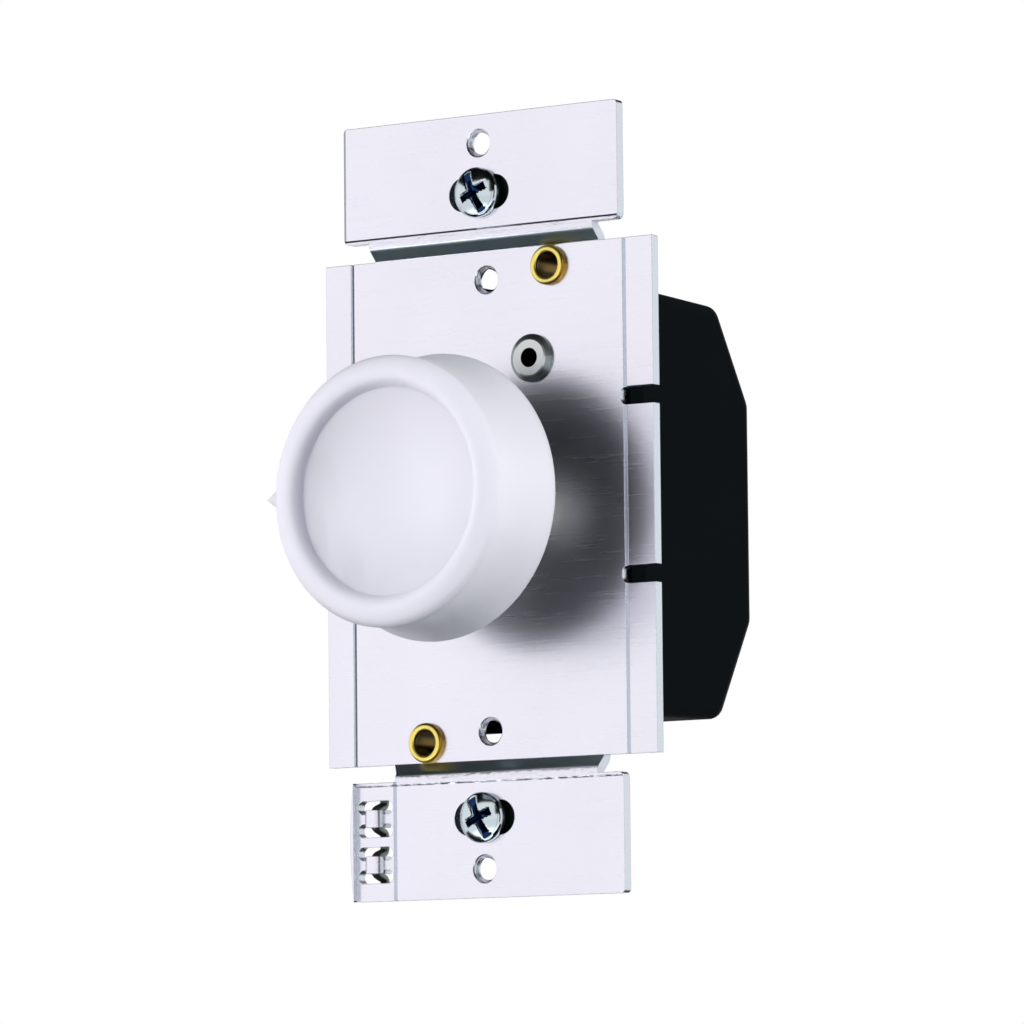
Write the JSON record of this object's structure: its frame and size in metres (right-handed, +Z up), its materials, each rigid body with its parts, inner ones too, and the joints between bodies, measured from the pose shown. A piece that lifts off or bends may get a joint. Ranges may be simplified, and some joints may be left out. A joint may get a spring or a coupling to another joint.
{
  "type": "rotary dimmer switch",
  "caption": "Wall-box rotary dimmer: hollow white knob that turns and pushes, joggled aluminium heat-sink yoke with break-off tabs, and a black moulded back housing.",
  "frame": {"origin": "on the knob's axis, in the front face of the two mounting ears", "axes": "-Y out of the wall towards the user, +X to the user's right, +Z up"},
  "size_m": [0.0526, 0.0577, 0.1046],
  "materials": {
    "bare_aluminium": "fine-brushed",
    "black_moulding": "satin",
    "brass": "bright",
    "rivet_aluminium": "satin",
    "zinc_steel": "bright zinc plate",
    "fibre": "satin",
    "stranded_copper": "tinned and dulled",
    "white_plastic": "semi-gloss",
    "shaft_nylon": "satin",
    "nickel_steel": "nickel plate",
    "brown_laminate": "satin",
    "carbon_ink": "matte",
    "tinned_copper": "tinned",
    "spring_steel": "bright",
    "fibreglass_board": "satin",
    "black_epoxy": "matte",
    "ferrite": "matte",
    "enamelled_wire": "varnished",
    "capacitor_coating": "glossy",
    "resistor_coating": "satin"
  },
  "bodies": {
    "root": {"heat_sink_yoke": "bare_aluminium", "ground_wire_end": "stranded_copper", "back_housing": "black_moulding", "upper_eyelet": "brass", "lower_eyelet": "brass", "triac_rivet": "rivet_aluminium", "top_box_screw": "zinc_steel", "bottom_box_screw": "zinc_steel", "top_screw_retainer": "fibre", "bottom_screw_retainer": "fibre", "control_bushing": "nickel_steel", "bushing_nut": "nickel_steel", "control_case": "nickel_steel", "resistor_wafer": "brown_laminate", "resistive_track": "carbon_ink", "wafer_terminals": "tinned_copper", "switch_cover": "black_moulding", "switch_case": "black_moulding", "left_contact": "brass", "right_contact": "brass", "return_spring": "spring_steel", "circuit_board": "fibreglass_board", "triac_tab": "tinned_copper", "triac_legs": "tinned_copper", "triac_body": "black_epoxy", "choke_core": "ferrite", "choke_winding": "enamelled_wire", "filter_capacitor": "capacitor_coating", "timing_capacitor": "capacitor_coating", "diac": "black_epoxy", "timing_resistor": "resistor_coating"},
    "rotor": {"wiper_rotor": "shaft_nylon", "wiper_contact": "brass"},
    "knob": {"knob": "white_plastic", "control_shaft": "shaft_nylon"},
    "plunger": {"switch_plunger": "shaft_nylon", "contact_bridge": "brass"}
  },
  "joints": [
    {"name": "knob_turn", "type": "hinge", "parent": "root", "child": "rotor", "pos_m": [0, 0, 0], "axis": [0, 1, 0], "range_deg": [-60, 240]},
    {"name": "knob_push", "type": "slide", "parent": "rotor", "child": "knob", "axis": [0, 1, 0], "range_m": [0, 0.002], "stiffness_N_per_m": 400, "springref_m": -0.004},
    {"name": "plunger_push", "type": "slide", "parent": "root", "child": "plunger", "axis": [0, 1, 0], "range_m": [0, 0.002], "deforming": ["return_spring"]}
  ],
  "couplings": [
    {"joint": "plunger_push", "follows": "knob_push", "ratio": 1}
  ]
}
